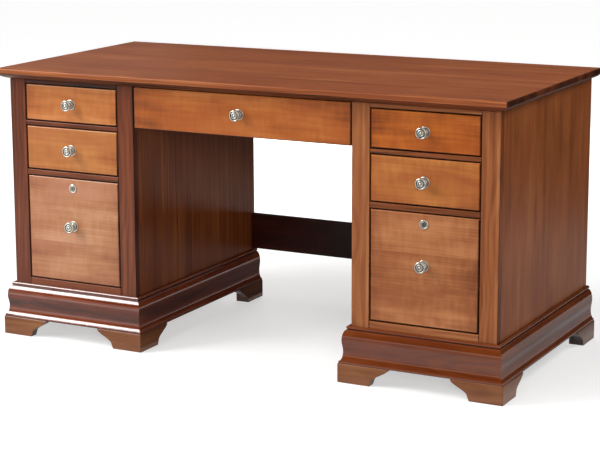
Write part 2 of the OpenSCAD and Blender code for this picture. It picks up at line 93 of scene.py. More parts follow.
def open_material(name):
    """A new material and its node tree, which is still empty."""
    material = bpy.data.materials.new(name)
    material.use_nodes = True
    material.node_tree.nodes.clear()
    return material, material.node_tree


# Camera, as it was fitted to the photograph's outlines

# The photograph's width in pixels, the sensor's in mm and the focal length in pixels; then the
# camera's angles in radians, its shift, and how many metres it sees
PHOTO_W = 600
SENSOR = 36
FOCAL_PX = 1861.2
CAMERA_AT = Vector((2360.9, -4578.6, 1434.5)) * MM
CAMERA_YAW = 0.4963
CAMERA_PITCH = 0.1964
CAMERA_ROLL = -0.0073
CAMERA_SHIFT = (0.067, -0.05)
FARTHEST_SEEN = 200


def place_camera():
    """The photograph's view: it looks at the desk from the right and a little from above."""
    data = bpy.data.cameras.new("photo_camera")
    data.sensor_width = SENSOR
    data.lens = FOCAL_PX / PHOTO_W * SENSOR
    data.shift_x, data.shift_y = CAMERA_SHIFT
    data.clip_end = FARTHEST_SEEN
    camera = stand("photo_camera", data)
    turn = (
        Matrix.Rotation(CAMERA_YAW, 4, "Z")
        @ Matrix.Rotation(math.pi / 2 - CAMERA_PITCH, 4, "X")
        @ Matrix.Rotation(CAMERA_ROLL, 4, "Z")
    )
    camera.matrix_world = Matrix.Translation(CAMERA_AT) @ turn
    bpy.context.scene.camera = camera


# Studio

# The share of its white that the backdrop casts on the desk
WORLD_LIGHT = 0.09
# How many metres the floor reaches to each side
FLOOR_REACH = 40
FLOOR_SHADES = ("#BCBCBA", "#C6C6C5")
FLOOR_ROUGHNESS = 0.7
# The floor's mottling and the nap of the cards' felt: their size in mm, with 90 and 300 patches to
# the metre, and their detail
MOTTLE, MOTTLE_DETAIL = 1000 / 90, 3.0
NAP, NAP_DETAIL = 1000 / 300, 2.0
# Near the desk and away from it: how far off that is in metres, and the floor's own light there
NEAR_LIGHT = (1.0, 0.52)
FAR_LIGHT = (5.0, 0.8)
# Each softbox: its two ends, its width and the point it faces, in metres, and its power in watts.
# The strip lies where the left pedestal's mouldings mirror it and the right one's don't, and no
# surface mirrors the others. The overhead one draws the soft shadow under the top, the front one the
# shadow of the centre drawer, and the last two light the right side and the back.
SOFTBOXES = {
    "strip_softbox": ((-3.1, -1, 4), (-3.6, -4.6, 2.1), 1.4, (-0.53, -0.35, 0.13), 270),
    "overhead_softbox": ((-2.4, -2.9, 4.9), (0.6, -2.9, 4.9), 2.4, (0, 0, 0.5), 100),
    "front_softbox": ((2.5, -5, 1.9), (3.5, -4.5, 1.9), 1, (0, 0, 0.4), 110),
    "side_softbox": ((2.5, -0.6, 2.75), (2.5, 0.6, 2.75), 1, (0.74, 0, 0.4), 43),
    "back_softbox": ((-2.6, 3.4, 1.2), (-0.8, 3.9, 1.2), 1.2, (-0.3, 0.35, 0.4), 100),
}
MIRRORED_SOFTBOX = "strip_softbox"
# Each card's shade and two opposite corners in metres. Seen only in the desk's gloss, the cards keep
# most of the white out of its top and sides and leave bright lines on its mouldings.
CARDS = {
    "back_card": ("#303030", (-4, 1.7, 0.02), (5, 1.7, 0.9)),
    "high_back_card": ("#747474", (-1.4, 1.7, 0.9), (5, 1.7, 3.2)),
    "high_left_card": ("#A4A4A4", (-4, 1.7, 0.9), (-1.4, 1.7, 3.2)),
    "ceiling_card": ("#606060", (-7, -9, 5), (0, 4, 5)),
    "front_card": ("#202020", (-7, -9, 0.8), (1, -9, 5)),
    "floor_card": ("#505050", (-7, -9, 0.01), (7, -2.1, 0.01)),
    "near_card": ("#B4B4B4", (-0.35, -2.1, 0.01), (7, -0.85, 0.01)),
    "base_card": ("#FFFFFF", (-7, -0.85, 0.01), (7, -0.4, 0.01)),
    "kneehole_card": ("#A0A0A0", (-0.3, -0.4, 0.01), (0.3, 1.7, 0.01)),
    "side_card": ("#DADADA", (0.8, -0.4, 0.01), (4, 1.7, 0.01)),
}


def add_seen_rays(tree):
    """1 for the rays that show the background itself: the camera's, and those off or through
    something shiny or clear."""
    path = add(tree, "ShaderNodeLightPath").outputs
    either = add(
        tree, MATHS, {0: path["Is Camera Ray"], 1: path["Is Glossy Ray"]}, operation="MAXIMUM"
    ).outputs[0]
    return add(
        tree, MATHS, {0: either, 1: path["Is Transmission Ray"]}, operation="MAXIMUM"
    ).outputs[0]


def light_world():
    """A white backdrop, which also lights the desk a little from all round."""
    world = bpy.data.worlds.new("white_studio")
    world.use_nodes = True
    tree = world.node_tree
    tree.nodes.clear()
    strength = add(
        tree, "ShaderNodeMapRange", {"Value": add_seen_rays(tree), "To Min": WORLD_LIGHT, "To Max": 1.0}
    )
    background = add(
        tree,
        "ShaderNodeBackground",
        {"Color": linear("#FFFFFF"), "Strength": strength.outputs["Result"]},
    )
    add(tree, "ShaderNodeOutputWorld", {"Surface": background.outputs[0]})
    bpy.context.scene.world = world


def spread(name, material, low, high):
    """A flat sheet between two opposite corners, with its first edge along X."""
    corners = [low, (high[0], low[1], low[2]), high, (low[0], high[1], high[2])]
    mesh = bpy.data.meshes.new(name)
    mesh.from_pydata(corners, [], [(0, 1, 2, 3)])
    mesh.materials.append(material)
    return stand(name, mesh)


def lay_floor():
    """Pale vinyl floor that keeps the desk's shadow. Its fine mottling only shows in the shadow,
    where the white doesn't clip."""
    material, tree = open_material("pale_vinyl_floor")
    place = add(tree, "ShaderNodeTexCoord").outputs["Object"]
    mottle = add(
        tree,
        "ShaderNodeTexNoise",
        {"Vector": place, "Scale": 1 / (MOTTLE * MM), "Detail": MOTTLE_DETAIL},
    ).outputs["Fac"]
    colour = add(
        tree,
        MIX,
        {0: mottle, 6: linear(FLOOR_SHADES[0]), 7: linear(FLOOR_SHADES[1])},
        data_type="RGBA",
    ).outputs[2]
    body = add(
        tree, "ShaderNodeBsdfPrincipled", {"Base Color": colour, "Roughness": FLOOR_ROUGHNESS}
    )
    # The lamps hardly reach the floor away from the desk, where lights of its own keep it white
    away = add(tree, VECTORS, {0: place}, operation="LENGTH")
    own_light = add(
        tree,
        "ShaderNodeMapRange",
        {
            "Value": away.outputs["Value"],
            "From Min": NEAR_LIGHT[0],
            "From Max": FAR_LIGHT[0],
            "To Min": NEAR_LIGHT[1],
            "To Max": FAR_LIGHT[1],
        },
    )
    glow = add(
        tree, MATHS, {0: add_seen_rays(tree), 1: own_light.outputs["Result"]}, operation="MULTIPLY"
    ).outputs[0]
    shine = add(tree, "ShaderNodeEmission", {"Strength": glow})
    both = add(tree, "ShaderNodeAddShader", {0: body.outputs[0], 1: shine.outputs[0]})
    add(tree, "ShaderNodeOutputMaterial", {"Surface": both.outputs[0]})
    floor = spread("floor", material, (-FLOOR_REACH, -FLOOR_REACH, 0), (FLOOR_REACH, FLOOR_REACH, 0))


def hang_softbox(name, start, end, width, aim, watts):
    """A softbox whose long side runs between two points, and which faces a third one."""
    start, end = Vector(start), Vector(end)
    middle = (start + end) / 2
    along = (end - start).normalized()
    back = middle - Vector(aim)
    back = (back - back.dot(along) * along).normalized()
    data = bpy.data.lights.new(name, "AREA")
    data.shape = "RECTANGLE"
    data.size = (end - start).length
    data.size_y = width
    data.energy = watts
    lamp = stand(name, data)
    turn = Matrix((along, back.cross(along), back)).transposed().to_4x4()
    lamp.matrix_world = Matrix.Translation(middle) @ turn
    lamp.visible_glossy = name == MIRRORED_SOFTBOX


def stand_card(name, shade, low, high):
    """A felt card that only the desk's gloss shows."""
    material, tree = open_material(f"felt_of_{name}")
    place = add(tree, "ShaderNodeTexCoord").outputs["Object"]
    nap = add(
        tree, "ShaderNodeTexNoise", {"Vector": place, "Scale": 1 / (NAP * MM), "Detail": NAP_DETAIL}
    ).outputs["Fac"]
    felt = add(
        tree, MIX, {0: nap, 6: linear("#000000"), 7: linear(shade)}, data_type="RGBA"
    ).outputs[2]
    dull = add(tree, "ShaderNodeBsdfDiffuse", {"Color": felt})
    add(tree, "ShaderNodeOutputMaterial", {"Surface": dull.outputs[0]})
    card = spread(name, material, low, high)
    card.visible_camera = False
    card.visible_diffuse = False
    card.visible_shadow = False
    card.visible_transmission = False


place_camera()
light_world()
lay_floor()
for name, softbox in SOFTBOXES.items():
    hang_softbox(name, *softbox)
for name, card in CARDS.items():
    stand_card(name, *card)
bpy.context.scene.view_settings.view_transform = "Standard"


# Finishes

# Each pattern of the wood: its size in mm along, across and through the board, and its detail.
# Maple's fibres and its cross curl are finer than the picture can show, so they are drawn about
# twice as coarse as they are.
WOOD_PATTERNS = {
    "warp": ((420, 120, 120), 2),
    "streaks": ((650, 13, 13), 3),
    "blotches": ((170, 55, 55), 2),
    "fibres": ((80, 3, 3), 3),
    "curl": ((14, 60, 60), 2),
    "warmth": ((260, 90, 90), 1),
}
RING_PITCH = 7 * MM
RING_WARP = 45 * MM
# The height on a ring's wave, from -1 to 1, at which the ring is in full
RING_CREST = 0.4
# How bright soaked wood, and wood under painted shade, is beside the dark streaks
SOAKED_AND_SHADED = 0.2
# The warm cast sets in at one level of its pattern, and reaches its most at the next
WARM_FROM, WARM_TO, WARM_MOST = 0.4, 0.75, 0.6
# How much the fibres vary the roughness, how deep rings lie beside them, and how deep the relief is
FIBRE_ROUGHNESS = 0.14
RING_RELIEF = 0.4
RELIEF_DEPTH = 0.15 * MM
# The metals' marks and patina: detail, roughness that each adds, and how strongly the marks are felt
MARK_DETAIL = 3.0
MARK_ROUGHNESS = 0.1
PATINA_ROUGHNESS = 0.3
MARK_STRENGTH = 0.15
MARK_DEPTH = 0.03 * MM


def draw_rings(tree, grain, warp):
    """Growth rings round the tree's heart, which lies under the board. They wander with the warp."""
    across = add(tree, VECTORS, {0: grain, 1: (0, 1, 1)}, operation="MULTIPLY").outputs[0]
    radius = add(tree, VECTORS, {0: across}, operation="LENGTH").outputs["Value"]
    wander = add(
        tree, MATHS, {0: warp, 1: RING_WARP, 2: radius}, operation="MULTIPLY_ADD"
    ).outputs[0]
    turns = add(
        tree, MATHS, {0: wander, 1: 2 * math.pi / RING_PITCH}, operation="MULTIPLY"
    ).outputs[0]
    wave = add(tree, MATHS, {0: turns}, operation="SINE").outputs[0]
    return add(
        tree,
        "ShaderNodeMapRange",
        {"Value": wave, "From Min": -1.0, "From Max": RING_CREST},
        interpolation_type="SMOOTHSTEP",
    ).outputs["Result"]


def stain_maple(name, shades, strengths, gloss):
    """Stained maple: shades run from the dark streaks to the light ones and then the warm cast."""
    material, tree = open_material(name)
    grain = add(tree, "ShaderNodeAttribute", attribute_name="grain").outputs["Vector"]
    tone = add(tree, "ShaderNodeAttribute", attribute_name="tone").outputs["Fac"]
    pattern = {}
    for part, (size, detail) in WOOD_PATTERNS.items():
        scale = [1 / (side * MM) for side in size]
        place = add(tree, VECTORS, {0: grain, 1: scale}, operation="MULTIPLY").outputs[0]
        pattern[part] = add(
            tree, "ShaderNodeTexNoise", {"Vector": place, "Scale": 1.0, "Detail": float(detail)}
        ).outputs["Fac"]
    pattern["rings"] = draw_rings(tree, grain, pattern["warp"])
    # Boards take more stain towards their ends
    if "ends" in strengths:
        reach = add(tree, "ShaderNodeAttribute", attribute_name="reach").outputs["Fac"]
        pattern["ends"] = add(tree, MATHS, {0: reach, 1: reach}, operation="MULTIPLY").outputs[0]

    # A pattern's middle is a half, and so is that of their sum
    total = add(
        tree, MATHS, {0: tone, 1: 0.5 - sum(strengths.values()) / 2}, operation="ADD"
    ).outputs[0]
    for part, strength in strengths.items():
        total = add(
            tree, MATHS, {0: pattern[part], 1: strength, 2: total}, operation="MULTIPLY_ADD"
        ).outputs[0]
    # Below its dark streaks' tone the wood darkens further, where stain soaks into edges and where
    # shade is painted, as on undersides
    colour = [SOAKED_AND_SHADED * part for part in linear(shades[0])[:3]] + [1]
    for step, shade in enumerate(shades[:3]):
        share = add(
            tree,
            "ShaderNodeMapRange",
            {"Value": total, "From Min": (step - 1) / 2, "From Max": step / 2},
        )
        colour = add(
            tree, MIX, {0: share.outputs["Result"], 6: colour, 7: linear(shade)}, data_type="RGBA"
        ).outputs[2]
    cast = add(
        tree,
        "ShaderNodeMapRange",
        {"Value": pattern["warmth"], "From Min": WARM_FROM, "From Max": WARM_TO, "To Max": WARM_MOST},
    )
    colour = add(
        tree, MIX, {0: cast.outputs["Result"], 6: colour, 7: linear(shades[3])}, data_type="RGBA"
    ).outputs[2]

    smoothest = gloss["roughness"] - FIBRE_ROUGHNESS / 2
    roughness = add(
        tree,
        MATHS,
        {0: pattern["fibres"], 1: FIBRE_ROUGHNESS, 2: smoothest},
        operation="MULTIPLY_ADD",
    ).outputs[0]
    relief = add(
        tree,
        MATHS,
        {0: pattern["rings"], 1: RING_RELIEF, 2: pattern["fibres"]},
        operation="MULTIPLY_ADD",
    ).outputs[0]
    bump = add(
        tree,
        "ShaderNodeBump",
        {"Height": relief, "Strength": gloss["relief"], "Distance": RELIEF_DEPTH},
    )
    surface = add(
        tree,
        "ShaderNodeBsdfPrincipled",
        {
            "Base Color": colour,
            "Roughness": roughness,
            "Normal": bump.outputs[0],
            "Specular IOR Level": gloss["specular"],
            "Coat Weight": gloss["coat"],
            "Coat Roughness": gloss["coat_roughness"],
        },
    )
    add(tree, "ShaderNodeOutputMaterial", {"Surface": surface.outputs[0]})
    return material


def finish_metal(name, shades, roughness, scratch_size):
    """Metal with fine polishing or rolling marks. Where its patina is 1, it is dark and dull."""
    material, tree = open_material(name)
    place = add(tree, "ShaderNodeTexCoord").outputs["Object"]
    scale = [1 / (side * MM) for side in scratch_size]
    scaled = add(tree, VECTORS, {0: place, 1: scale}, operation="MULTIPLY").outputs[0]
    marks = add(
        tree, "ShaderNodeTexNoise", {"Vector": scaled, "Scale": 1.0, "Detail": MARK_DETAIL}
    ).outputs["Fac"]
    patina = add(tree, "ShaderNodeAttribute", attribute_name="patina").outputs["Fac"]
    bright = add(
        tree, MIX, {0: marks, 6: linear(shades[0]), 7: linear(shades[1])}, data_type="RGBA"
    ).outputs[2]
    colour = add(
        tree, MIX, {0: patina, 6: bright, 7: linear(shades[2])}, data_type="RGBA"
    ).outputs[2]
    polish = add(
        tree,
        MATHS,
        {0: marks, 1: MARK_ROUGHNESS, 2: roughness - MARK_ROUGHNESS / 2},
        operation="MULTIPLY_ADD",
    ).outputs[0]
    dulled = add(
        tree, MATHS, {0: patina, 1: PATINA_ROUGHNESS, 2: polish}, operation="MULTIPLY_ADD"
    ).outputs[0]
    bump = add(
        tree, "ShaderNodeBump", {"Height": marks, "Strength": MARK_STRENGTH, "Distance": MARK_DEPTH}
    )
    surface = add(
        tree,
        "ShaderNodeBsdfPrincipled",
        {"Base Color": colour, "Metallic": 1.0, "Roughness": dulled, "Normal": bump.outputs[0]},
    )
    add(tree, "ShaderNodeOutputMaterial", {"Surface": surface.outputs[0]})
    return material


# The wood's surfaces, from satin lacquer to sanded wood: what each gives back, how rough it is, how
# much of its relief is felt, and the clear coat over it
SATIN = {"specular": 0.4, "roughness": 0.36, "relief": 0.2, "coat": 0.0, "coat_roughness": 0.16}
DULL_SATIN = {"specular": 0.22, "roughness": 0.4, "relief": 0.2, "coat": 0.0, "coat_roughness": 0.16}
FINE_SATIN = {"specular": 0.4, "roughness": 0.13, "relief": 0.02, "coat": 1.0, "coat_roughness": 0.1}
BARE = {"specular": 0.3, "roughness": 0.55, "relief": 0.4, "coat": 0.0, "coat_roughness": 0.2}
# How strongly each pattern shows
PLAIN_FIGURE = {"rings": 0.18, "streaks": 1.1, "blotches": 0.9, "fibres": 0.35}
STREAKY = {"rings": 0.3, "streaks": 2.0, "blotches": 0.7, "fibres": 0.3}
SOFT_STREAKS = {"rings": 0.2, "streaks": 1.3, "blotches": 1.3, "fibres": 0.25}
BLOTCHY = {"rings": 0.1, "streaks": 0.8, "blotches": 1.4, "fibres": 0.3, "curl": 0.55, "ends": -0.4}

# Maple under a brown stain and satin lacquer: long soft streaks, a board-by-board change of tone
top_maple = stain_maple(
    "brown_stained_maple_top",
    ["#663218", "#854725", "#9E5D33", "#7B3C20"],
    STREAKY,
    DULL_SATIN,
)
# The same maple with less stain on the drawer fronts, each a little different as boards take stain
# unevenly: blotches and a faint curl across the grain
FRONT_STAINS = {
    "left_upper": ["#8D4B21", "#AA6430", "#BE7B44", "#A15931"],
    "left_middle": ["#8B4D22", "#A66631", "#BA7D45", "#9F5B32"],
    "left_file": ["#885234", "#A36E49", "#B78564", "#9C624A"],
    "right_upper": ["#77370A", "#A05115", "#BD6A22", "#934210"],
    "right_middle": ["#763E17", "#9E5B28", "#BA7739", "#914A1F"],
    "right_file": ["#6D3B1C", "#91552F", "#AD7146", "#864727"],
    "center": ["#743912", "#9D521C", "#B3692F", "#90461A"],
}
front_maple = {
    drawer: stain_maple(f"honey_stained_maple_{drawer}_front", shades, BLOTCHY, SATIN)
    for drawer, shades in FRONT_STAINS.items()
}
# The frames and sides take more stain: a dark cherry one on the left pedestal, and a browner and
# lighter one on the right, where the sides' streaks are softer
frame_maple = {
    "left": stain_maple(
        "cherry_stained_maple_left_frame",
        ["#441A07", "#5F2A0F", "#743A1A", "#541F0A"],
        STREAKY,
        SATIN,
    ),
    "right": stain_maple(
        "brown_stained_maple_right_frame",
        ["#6D3716", "#8C512A", "#A2673B", "#80421F"],
        STREAKY,
        SATIN,
    ),
}
side_maple = {
    "left": stain_maple(
        "cherry_stained_maple_left_sides",
        ["#54260C", "#743A16", "#894F25", "#672E10"],
        STREAKY,
        SATIN,
    ),
    "right": stain_maple(
        "brown_stained_maple_right_sides",
        ["#6B3717", "#874A24", "#995B32", "#7C3D1D"],
        SOFT_STREAKS,
        SATIN,
    ),
}
# The mouldings are rubbed to a finer gloss, which draws long bright lines along the bead and ogee
base_maple = {
    "left": stain_maple(
        "cherry_stained_maple_left_base",
        ["#4D1E0C", "#6B2D13", "#823F1B", "#5F240E"],
        PLAIN_FIGURE,
        FINE_SATIN,
    ),
    "right": stain_maple(
        "cherry_stained_maple_right_base",
        ["#50200A", "#6C3211", "#844520", "#5F270E"],
        PLAIN_FIGURE,
        FINE_SATIN,
    ),
}
# The feet have the mouldings' quiet figure, in a duller brown and without their gloss
foot_maple = stain_maple(
    "brown_stained_maple_feet", ["#583016", "#784827", "#8C5C3B", "#6A391E"], PLAIN_FIGURE, SATIN
)
# The stretcher's stain is nearly black, and lets hardly any figure through
dark_maple = stain_maple(
    "espresso_stained_maple", ["#1C0402", "#2A0904", "#3D1207", "#260503"], PLAIN_FIGURE, SATIN
)
# Pale maple inside, where no stain goes: lacquered on the drawer boxes, bare on rails and spacers
clear_maple = stain_maple(
    "clear_lacquered_maple", ["#B98F5E", "#D3AC7B", "#E2C298", "#CDA06C"], PLAIN_FIGURE, SATIN
)
raw_maple = stain_maple(
    "sanded_bare_maple", ["#B49068", "#CBA980", "#DABD97", "#C49E74"], PLAIN_FIGURE, BARE
)
# The bottoms' birch plywood, pale and lacquered too
birch_plywood = stain_maple(
    "birch_plywood", ["#BD9A6C", "#D2B287", "#DEC39C", "#CBA676"], PLAIN_FIGURE, SATIN
)
# The back panels' plywood has a brown stain but no lacquer, so that it stays dull
back_plywood = stain_maple(
    "stained_maple_plywood", ["#673A22", "#835033", "#986444", "#75402A"], PLAIN_FIGURE, BARE
)
# Nickel plate, polished bright on the heads and darkened in the turned grooves
nickel = finish_metal(
    "polished_nickel", ["#CCC9BE", "#E2DFD4", "#3C3A36"], roughness=0.32, scratch_size=(1.5, 1.5, 1.5)
)
# The lock plugs' nickel is duller and darker, with finer scratches
dull_nickel = finish_metal(
    "dulled_nickel", ["#7E7B73", "#A09D93", "#2A2926"], roughness=0.36, scratch_size=(0.9, 0.9, 0.9)
)
# Zinc-plated rolled steel, dulled, with rolling marks along the slides
zinc_steel = finish_metal(
    "zinc_plated_steel", ["#A5A8AA", "#BDC0C2", "#4A4A48"], roughness=0.34, scratch_size=(0.8, 60, 0.8)
)


# Joinery

X, Y, Z = range(3)
# Corners this close are one, and faces this close to one plane are one face
WELD = 0.002 * MM
FLAT = math.radians(0.4)
# Faces that turn by more than this meet at a sharp edge
SHARP = math.radians(28)
# Shading goes smoothly round an eased edge, whose small faces turn by less than this
EASED_SHARP = math.radians(50)
# An edge is a sliver's if it is shorter than this share of the easing's width
SLIVER_SHARE = 0.4
# A cut that comes this close to a corner goes through it
CUT_SLACK = 0.001 * MM
# How far a joint between planks strays, as a share of a plank's width
JOINT_PLAY = 0.15
# A board's place in its tree: up to how many metres along it, how many mm to either side of the
# heart, and how many mm above the heart
TREE_LENGTH = 5
HEART_ASIDE = 70
HEART_UNDER = (45, 130)
# How far tones stray from plank to plank and from board to board. A tone of 1 is the step from the
# dark streaks' shade to the light ones'.
PLANK_TONES = 0.13
BOARD_TONES = 0.06
EDGE_TONE = -0.5
END_TONE = -0.8
# Undersides are darkened as painted shade
UNDERSIDE_PAINTED_SHADE = -0.8
# Lower and side arrises of a front are darkened by stain and by painted shade
ARRIS_TONE = -0.9
# Upper arrises of a front are lightened as a painted highlight, most on the left pedestal
UPPER_ARRIS_PAINTED_HIGHLIGHT = {"left": 0.9, "right": 0.1, "center": 0.2}
# The top's end grain is nearly black, from stain and painted shade, and the rear feet are darker than
# the front ones by painted shade
TOP_END_STAIN_AND_SHADE = -2.2
REAR_FOOT_PAINTED_SHADE = -0.6
# Round a front, a face belongs to an arris where its flatness lies between these. A face that is
# flush with the front has a flatness of 1, and one that is square to it has 0.
ARRIS_LEAST, ARRIS_MOST = 0.3, 0.97
# A face looks up or down where its normal rises or falls by more than this
FACING = 0.3
# The bottom rail's tone, the middle rails' and the top rail's, and the heights that tell them apart
# On the left the top rail's tone is painted shade under the top, and the bottom rail's a painted sheen
RAIL_TONES_AND_PAINTED_LIGHT = {"left": (0.5, 0, -0.5), "right": (-0.05, -0.6, 0.1)}
BOTTOM_RAIL_BELOW, TOP_RAIL_ABOVE = 200 * MM, 700 * MM


def part_islands(shape):
    """The shape's separate solids, as lists of faces, in the order of their first faces."""
    left = set(shape.faces)
    islands = []
    for first in shape.faces:
        if first not in left:
            continue
        left.remove(first)
        reached = [first]
        island = []
        while reached:
            face = reached.pop()
            island.append(face)
            for edge in face.edges:
                for other in edge.link_faces:
                    if other in left:
                        left.remove(other)
                        reached.append(other)
        islands.append(island)
    return islands


def span(faces):
    """The lowest and highest corner of the box round some faces."""
    corners = [v.co for face in faces for v in face.verts]
    low = Vector([min(c[i] for c in corners) for i in range(3)])
    high = Vector([max(c[i] for c in corners) for i in range(3)])
    return low, high


def open_node(node):
    """A copy of a CAD node's shape, its triangles merged back into flat faces."""
    shape = bmesh.new()
    shape.from_mesh(frame["nodes"][node].data)
    bmesh.ops.remove_doubles(shape, verts=shape.verts, dist=WELD)
    bmesh.ops.dissolve_limit(
        shape,
        angle_limit=FLAT,
        verts=shape.verts,
        edges=shape.edges,
        use_dissolve_boundaries=False,
    )
    return shape


def ease_edges(shape, width):
    """Takes the sharp edges off, as sandpaper or a file does, apart from those that end at a sliver."""
    edges = [
        e
        for e in shape.edges
        if e.is_manifold
        and e.calc_face_angle() > SHARP
        and min(near.calc_length() for v in e.verts for near in v.link_edges) > SLIVER_SHARE * width
    ]
    bmesh.ops.bevel(
        shape, geom=edges, offset=width, segments=2, profile=0.5, affect="EDGES", clamp_overlap=True
    )


def pick_figure(chance, aside):
    """A board's place in its tree, in metres, which gives it a figure of its own."""
    return (
        chance.uniform(0, TREE_LENGTH),
        chance.uniform(-aside, aside) * MM,
        chance.uniform(*HEART_UNDER) * MM,
    )


def cut_planks(shape, faces, width, joints):
    """Cuts the faces of a panel across its width at each joint."""
    normal = Matrix.Identity(3)[width]
    for joint in joints:
        edges = {e for f in faces for e in f.edges}
        verts = {v for f in faces for v in f.verts}
        cut = bmesh.ops.bisect_plane(
            shape,
            geom=[*verts, *edges, *faces],
            dist=CUT_SLACK,
            plane_co=joint * normal,
            plane_no=normal,
        )
        faces = {f for f in cut["geom"] if isinstance(f, bmesh.types.BMFace)}
    return faces


def lay_grain(
    shape,
    name,
    plank_w=None,
    along=None,
    front=None,
    edge_tone=EDGE_TONE,
    end_tone=END_TONE,
    rear_tone=0,
    rail_tones=(0, 0, 0),
    upper_arris_tone=None,
):
    """Writes where each point lies in its board, so that the wood's figure runs along the board.
    Panels wider than a plank are cut into planks, each with its own figure and tone. Edges take
    more stain than faces and end grain keeps most of it. Undersides and rear parts get painted shade,
    and rails have their own tones, which also carry painted shade and sheen. Round a front the lower
    arrises are darkened by stain and painted shade, and the upper ones get a painted highlight."""
    grain = shape.loops.layers.float_vector.new("grain")
    tone = shape.loops.layers.float.new("tone")
    reach = shape.loops.layers.float.new("reach")
    chance = random.Random(name)
    for island in part_islands(shape):
        low, high = span(island)
        size = high - low
        length = along if along is not None else max(range(3), key=lambda i: size[i])
        across = [i for i in range(3) if i != length]
        width, depth = sorted(across, key=lambda i: (i == front, -size[i]))
        count = max(1, round(size[width] / plank_w)) if plank_w else 1
        joints = [
            low[width] + size[width] * (i + chance.uniform(-JOINT_PLAY, JOINT_PLAY)) / count
            for i in range(1, count)
        ]
        tones = PLANK_TONES if count > 1 else BOARD_TONES
        planks = [
            (Vector(pick_figure(chance, HEART_ASIDE)), chance.uniform(-tones, tones))
            for _ in range(count)
        ]
        for face in cut_planks(shape, set(island), width, joints):
            middle = face.calc_center_median()[width]
            shift, shade = planks[sum(middle > joint for joint in joints)]
            flatness = abs(face.normal[depth])
            # Round a front, upper arrises get a painted highlight, the others stain and painted shade
            if front is not None and ARRIS_LEAST < flatness < ARRIS_MOST:
                shade += upper_arris_tone if face.normal.z > FACING else ARRIS_TONE
            else:
                shade += edge_tone * (1 - flatness) + end_tone * abs(face.normal[length])
            # Rails get their own tones, which also carry painted shade and a painted sheen
            if length == X:
                shade += rail_tones[(low.z > BOTTOM_RAIL_BELOW) + (low.z > TOP_RAIL_ABOVE)]
            # Parts behind the middle, the rear feet, get painted shade
            if low.y > 0:
                shade += rear_tone
            # Undersides get painted shade
            if face.normal.z < -FACING:
                shade += UNDERSIDE_PAINTED_SHADE
            for loop in face.loops:
                at = loop.vert.co - low
                loop[grain] = shift + Vector((at[length], at[width], at[depth]))
                loop[tone] = shade
                loop[reach] = 2 * at[length] / size[length] - 1


def settle(obj):
    """Makes what the modifiers give the object's own plain mesh, and takes them off."""
    shown = obj.evaluated_get(bpy.context.evaluated_depsgraph_get())
    mesh = bpy.data.meshes.new_from_object(shown)
    obj.modifiers.clear()
    obj.data = mesh
    mesh.name = obj.name


def shade_smooth(obj):
    """Smooth shading all over."""
    obj.data.polygons.foreach_set("use_smooth", [True] * len(obj.data.polygons))


def smooth_round(obj, sharp):
    """Smooth shading between the sharp edges, with the flat faces kept flat."""
    shade_smooth(obj)
    obj.data.set_sharp_from_angle(angle=sharp)
    flat = obj.modifiers.new("flat_faces", "WEIGHTED_NORMAL")
    flat.keep_sharp = True
    settle(obj)


def hand_over(obj, node):
    """The finished piece stands for its CAD node and moves with the node's body."""
    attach(obj, BODY_OF[node])
    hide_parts(node)


def make_piece(node, shape, material):
    """The object that stands for a CAD node, made of a finished shape."""
    obj = stand("finished_" + node, bpy.data.meshes.new(node))
    shape.to_mesh(obj.data)
    shape.free()
    obj.data.materials.append(material)
    return obj


def finish_wood(node, material, slot, ease=0.6, plank_w=None, **laying):
    """A CAD node as the joiner leaves it: edges eased, planks matched, grain along each board. The
    easing and the planks' width are in mm."""
    shape = open_node(node)
    shape.normal_update()
    ease_edges(shape, ease * MM)
    shape.normal_update()
    lay_grain(shape, node, plank_w and plank_w * MM, **laying)
    piece = make_piece(node, shape, material)
    smooth_round(piece, EASED_SHARP)
    hand_over(piece, node)


finish_wood(
    "desk_top",
    top_maple,
    "top_wood",
    ease=0.3,
    plank_w=105,
    along=X,
    edge_tone=0,
    # Its end grain is darkened by stain and by painted shade
    end_tone=TOP_END_STAIN_AND_SHADE,
)
finish_wood("kneehole_rear_rail", frame_maple["left"], "frame_wood", ease=0.8, along=X)
finish_wood("kneehole_stretcher", dark_maple, "dark_wood", ease=1, along=X)
finish_wood("top_frame_rails", raw_maple, "plain_wood", ease=0.8)
finish_wood("slide_spacers", raw_maple, "plain_wood", ease=0.8)
finish_wood("bracket_feet", foot_maple, "base_wood", ease=0.8, rear_tone=REAR_FOOT_PAINTED_SHADE)
for side in SIDES:
    for panel in ("outer_side", "inner_side"):
        finish_wood(f"{side}_{panel}", side_maple[side], "side_wood", ease=0.5, plank_w=110, along=Z)
    finish_wood(f"{side}_back_panel", back_plywood, "back_wood", ease=0.5, along=Z)
    finish_wood(f"{side}_bottom_panel", birch_plywood, "plywood", ease=0.3, along=Y)
    finish_wood(
        f"{side}_face_frame",
        frame_maple[side],
        "frame_wood",
        ease=1.5,
        front=Y,
        rail_tones=RAIL_TONES_AND_PAINTED_LIGHT[side],
        upper_arris_tone=UPPER_ARRIS_PAINTED_HIGHLIGHT[side],
    )
for drawer in DRAWERS:
    finish_wood(
        f"{drawer}_drawer_front",
        front_maple[drawer],
        "front_wood",
        ease=1.4,
        plank_w=100,
        along=X,
        front=Y,
        # Their edges in the gaps are darkened by stain and by painted shade
        edge_tone=-2,
        upper_arris_tone=UPPER_ARRIS_PAINTED_HIGHLIGHT[drawer.split("_")[0]],
    )
    finish_wood(f"{drawer}_drawer_box", clear_maple, "plain_wood", ease=0.6)
    finish_wood(f"{drawer}_drawer_bottom", birch_plywood, "plywood", ease=0.3, along=X)


# Trees of nodes that shape a piece


